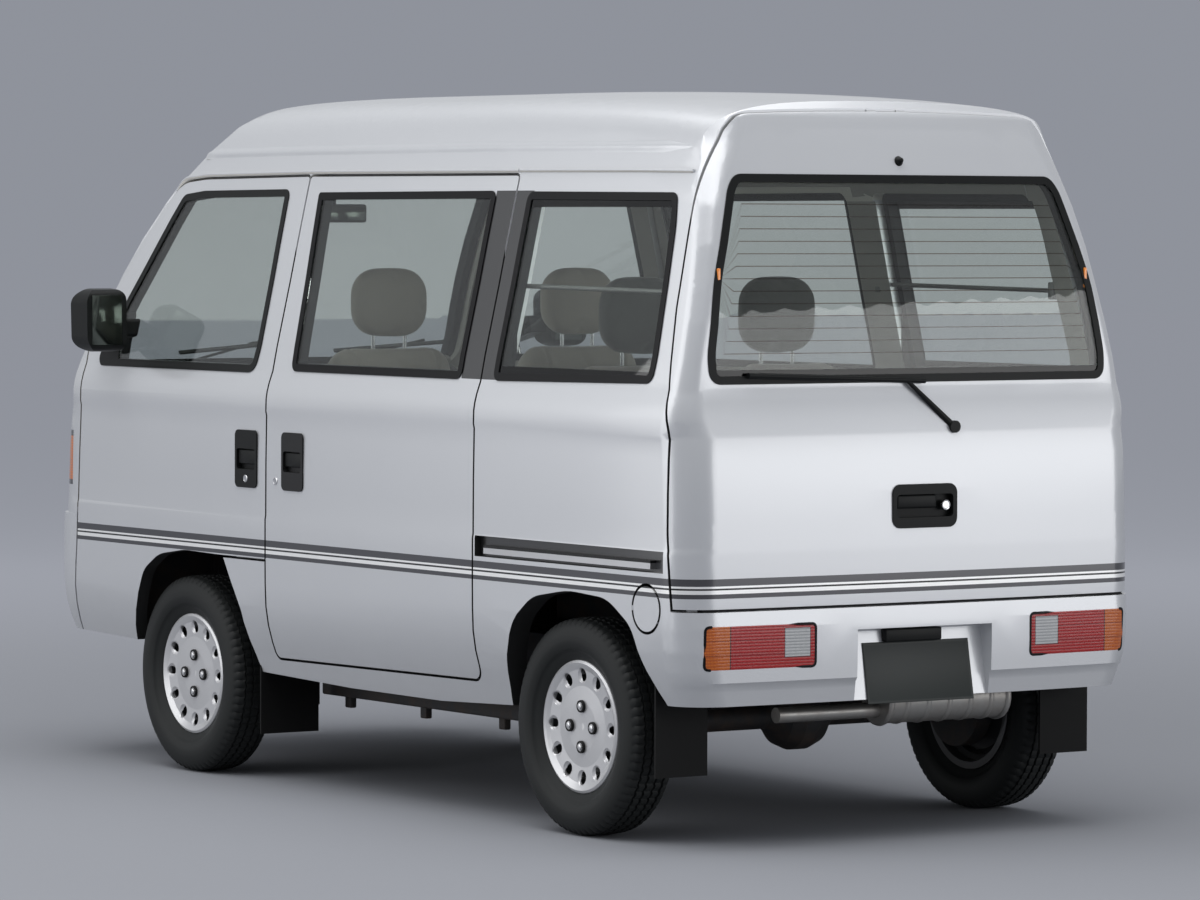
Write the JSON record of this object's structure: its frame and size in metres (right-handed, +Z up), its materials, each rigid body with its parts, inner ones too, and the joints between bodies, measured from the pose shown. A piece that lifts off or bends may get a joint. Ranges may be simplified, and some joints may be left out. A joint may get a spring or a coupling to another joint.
{
  "type": "small high-roof van",
  "caption": "Small high-roof van with sliding side doors, a lifting tailgate, hinged front doors, steered front wheels and a furnished cabin.",
  "frame": {"origin": "on the ground under the middle of the overall length and width", "axes": "+Z up, the nose points to -Y, the vehicle's left flank is +X"},
  "size_m": [1.66, 3.2949, 1.8422],
  "materials": {
    "silver": "metallic lacquer",
    "steel_dark": "painted",
    "glass_clear": "clear",
    "rubber_black": "matte",
    "plastic_black": "fine grain",
    "lamp_clear": "ribbed",
    "lamp_red": "gloss",
    "plastic_grey": "fine grain",
    "fabric_seat": "woven",
    "steel_pipe": "dull",
    "tank": "matte",
    "cover_silver": "silver lacquer",
    "tyre": "matte"
  },
  "bodies": {
    "body": {"roof": "silver", "front_panel": "silver", "side_left": "silver", "side_right": "silver", "floor": "steel_dark", "front_bumper": "silver", "rear_bumper": "silver", "windshield": "glass_clear", "side_glass": "glass_clear", "window_seals": "rubber_black", "slide_doors": "silver", "slide_trim": "plastic_black", "front_lamps": "lamp_clear", "tail_lamps": "lamp_red", "dashboard": "plastic_grey", "front_seats": "fabric_seat", "rear_seats": "fabric_seat", "suspension": "steel_dark", "engine": "steel_dark", "exhaust": "steel_pipe", "fuel_tank": "tank", "mud_flaps": "rubber_black"},
    "front_door_left": {"door_front_left": "silver", "door_glass_left": "glass_clear", "door_trim_left": "plastic_black"},
    "front_door_right": {"door_front_right": "silver", "door_glass_right": "glass_clear", "door_trim_right": "plastic_black"},
    "rear_gate": {"tailgate": "silver", "tailgate_glass": "glass_clear", "tailgate_trim": "plastic_black"},
    "fuel_flap": {"fuel_lid": "silver"},
    "steer_left": {"knuckle_left": "steel_dark"},
    "steer_right": {"knuckle_right": "steel_dark"},
    "roll_front_left": {"wheel_front_left": "cover_silver", "tyre_front_left": "tyre"},
    "roll_front_right": {"wheel_front_right": "cover_silver", "tyre_front_right": "tyre"},
    "roll_rear_left": {"wheel_rear_left": "cover_silver", "tyre_rear_left": "tyre"},
    "roll_rear_right": {"wheel_rear_right": "cover_silver", "tyre_rear_right": "tyre"},
    "hand_wheel": {"steering_wheel": "plastic_black"}
  },
  "joints": [
    {"name": "front_door_left_hinge", "type": "hinge", "parent": "body", "child": "front_door_left", "pos_m": [0.692, -1.362, 0.75], "axis": [0, 0, -1], "range_deg": [0, 65]},
    {"name": "front_door_right_hinge", "type": "hinge", "parent": "body", "child": "front_door_right", "pos_m": [-0.692, -1.362, 0.75], "axis": [0, 0, 1], "range_deg": [0, 65]},
    {"name": "tailgate_hinge", "type": "hinge", "parent": "body", "child": "rear_gate", "pos_m": [0, 1.4727, 1.7796], "axis": [1, 0, 0], "range_deg": [0, 85]},
    {"name": "fuel_lid_hinge", "type": "hinge", "parent": "body", "child": "fuel_flap", "pos_m": [0.6955, 1.4, 0.58], "axis": [0, 0, -1], "range_deg": [0, 100]},
    {"name": "steer_left_turn", "type": "hinge", "parent": "body", "child": "steer_left", "pos_m": [0.535, -0.796, 0.268], "axis": [-0.2516, 0, 0.9678], "range_deg": [-35, 35]},
    {"name": "steer_right_turn", "type": "hinge", "parent": "body", "child": "steer_right", "pos_m": [-0.535, -0.796, 0.268], "axis": [0.2516, 0, 0.9678], "range_deg": [-35, 35]},
    {"name": "hand_wheel_turn", "type": "hinge", "parent": "body", "child": "hand_wheel", "pos_m": [-0.3, -1.10333, 0.97125], "axis": [0, 0.7707, 0.6371], "range_deg": [-490, 490]},
    {"name": "roll_front_left_spin", "type": "hinge", "parent": "steer_left", "child": "roll_front_left", "pos_m": [0.602, -0.796, 0.268], "axis": [1, 0, 0], "continuous": true},
    {"name": "roll_front_right_spin", "type": "hinge", "parent": "steer_right", "child": "roll_front_right", "pos_m": [-0.602, -0.796, 0.268], "axis": [1, 0, 0], "continuous": true},
    {"name": "roll_rear_left_spin", "type": "hinge", "parent": "body", "child": "roll_rear_left", "pos_m": [0.602, 1.104, 0.268], "axis": [1, 0, 0], "continuous": true},
    {"name": "roll_rear_right_spin", "type": "hinge", "parent": "body", "child": "roll_rear_right", "pos_m": [-0.602, 1.104, 0.268], "axis": [1, 0, 0], "continuous": true}
  ],
  "couplings": [
    {"joint": "steer_right_turn", "follows": "steer_left_turn", "ratio": 1},
    {"joint": "hand_wheel_turn", "follows": "steer_left_turn", "ratio": 14}
  ]
}
